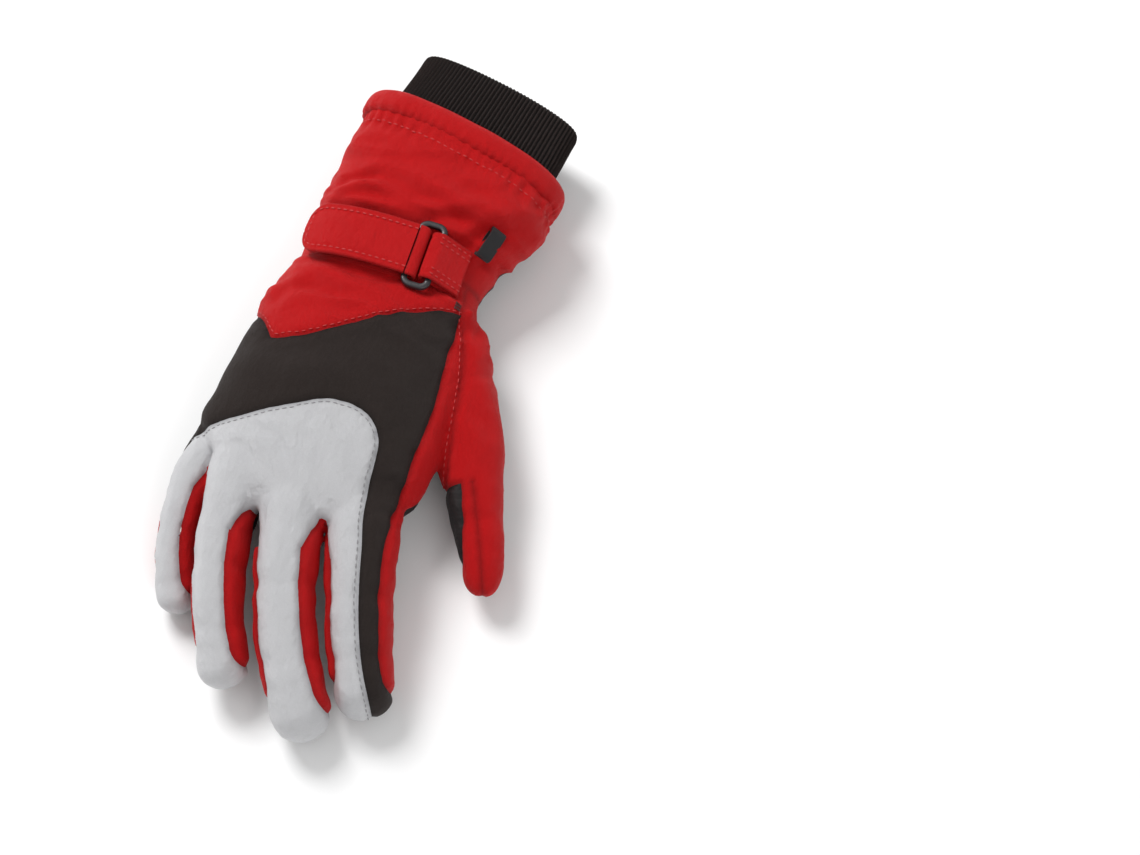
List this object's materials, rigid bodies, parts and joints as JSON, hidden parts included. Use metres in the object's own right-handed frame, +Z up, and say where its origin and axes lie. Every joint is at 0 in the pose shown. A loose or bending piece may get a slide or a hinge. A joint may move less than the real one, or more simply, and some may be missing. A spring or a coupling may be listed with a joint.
{
  "type": "padded ski glove",
  "caption": "Padded right-hand ski glove with knit cuff, padded gauntlet hem, wrist strap through a plastic ring, hang loop, and fingers and thumb that bend.",
  "frame": {"origin": "middle of the footprint of the whole glove, on the surface it lies on", "axes": "+Z up out of the back of the hand, -Y towards the fingertips, +Y towards the cuff, +X towards the thumb; the palm is down"},
  "size_m": [0.1348, 0.296, 0.049],
  "materials": {
    "red_cloth": "matte nylon weave",
    "black_cloth": "matte nylon weave",
    "silver_cloth": "satin nylon weave",
    "grip": "matte embossed synthetic leather",
    "knit": "rib knit",
    "fleece": "brushed fleece",
    "wadding": "loose fibre wadding",
    "plastic": "moulded, slightly glossy",
    "webbing": "ribbed webbing",
    "tape": "hook and loop tape",
    "elastic": "woven elastic"
  },
  "bodies": {
    "glove": {"silver_back_panel": "silver_cloth", "black_back_panel": "black_cloth", "wrist_yoke": "red_cloth", "thumb_side_panel": "red_cloth", "thumb_root": "red_cloth", "palm_panel": "grip", "little_side_panel": "black_cloth", "web_index_middle": "red_cloth", "web_middle_ring": "red_cloth", "web_ring_little": "red_cloth", "gauntlet_back": "red_cloth", "gauntlet_palm": "black_cloth", "wrist_elastic": "elastic", "hand_insulation": "wadding", "cuff_insulation": "wadding", "hand_lining": "fleece", "cuff_lining": "fleece", "cuff_hem": "red_cloth", "knit_cuff": "knit", "palm_patch": "grip", "strap_base": "red_cloth", "loop_patch": "tape", "ring_tab": "red_cloth"},
    "index_finger": {"index_stripe": "black_cloth", "index_back": "silver_cloth", "index_palm": "grip", "index_thumbward_side": "red_cloth", "index_littleward_side": "red_cloth", "index_insulation": "wadding", "index_lining": "fleece"},
    "middle_finger": {"middle_back": "silver_cloth", "middle_palm": "grip", "middle_thumbward_side": "red_cloth", "middle_littleward_side": "red_cloth", "middle_insulation": "wadding", "middle_lining": "fleece"},
    "ring_finger": {"ring_back": "silver_cloth", "ring_palm": "grip", "ring_thumbward_side": "red_cloth", "ring_littleward_side": "red_cloth", "ring_insulation": "wadding", "ring_lining": "fleece"},
    "little_finger": {"little_back": "silver_cloth", "little_palm": "grip", "little_thumbward_side": "red_cloth", "little_littleward_side": "red_cloth", "little_insulation": "wadding", "little_lining": "fleece"},
    "thumb": {"thumb_outer": "red_cloth", "thumb_inner": "red_cloth", "thumb_palm": "grip", "thumb_insulation": "wadding", "thumb_lining": "fleece"},
    "strap_tail": {"strap_tail": "red_cloth", "hook_patch": "tape"},
    "slide_ring": {"slide_ring": "plastic"},
    "hang_loop": {"hang_loop": "webbing"}
  },
  "joints": [
    {"name": "index_bend", "type": "hinge", "parent": "glove", "child": "index_finger", "pos_m": [0.01734, -0.08706, 0.02392], "axis": [0.9372, 0.3487, 0], "range_deg": [-8, 70], "stiffness_Nm_per_rad": 0.02},
    {"name": "middle_bend", "type": "hinge", "parent": "glove", "child": "middle_finger", "pos_m": [-0.01096, -0.09107, 0.02482], "axis": [0.8996, 0.4368, 0], "range_deg": [-8, 70], "stiffness_Nm_per_rad": 0.02},
    {"name": "ring_bend", "type": "hinge", "parent": "glove", "child": "ring_finger", "pos_m": [-0.03565, -0.09119, 0.02297], "axis": [0.9121, 0.41, 0], "range_deg": [-8, 50], "stiffness_Nm_per_rad": 0.02},
    {"name": "little_bend", "type": "hinge", "parent": "glove", "child": "little_finger", "pos_m": [-0.0583, -0.08009, 0.01349], "axis": [0.9486, 0.3166, 0], "range_deg": [-8, 60], "stiffness_Nm_per_rad": 0.02},
    {"name": "thumb_bend", "type": "hinge", "parent": "glove", "child": "thumb", "pos_m": [0.04865, -0.0402, 0.01652], "axis": [0.8901, 0.3012, -0.342], "range_deg": [-5, 35], "stiffness_Nm_per_rad": 0.02},
    {"name": "strap_peel", "type": "hinge", "parent": "glove", "child": "strap_tail", "pos_m": [-0.00488, 0.04895, 0.04897], "axis": [0, 1, 0], "range_deg": [0, 120]},
    {"name": "ring_slide", "type": "slide", "parent": "glove", "child": "slide_ring", "axis": [0, 1, 0], "range_m": [-0.0009, 0.0009]},
    {"name": "loop_lift", "type": "hinge", "parent": "glove", "child": "hang_loop", "pos_m": [0.02004, 0.05999, 0.03504], "axis": [0.807, -0.0564, -0.5878], "range_deg": [0, 45], "stiffness_Nm_per_rad": 0.001}
  ]
}
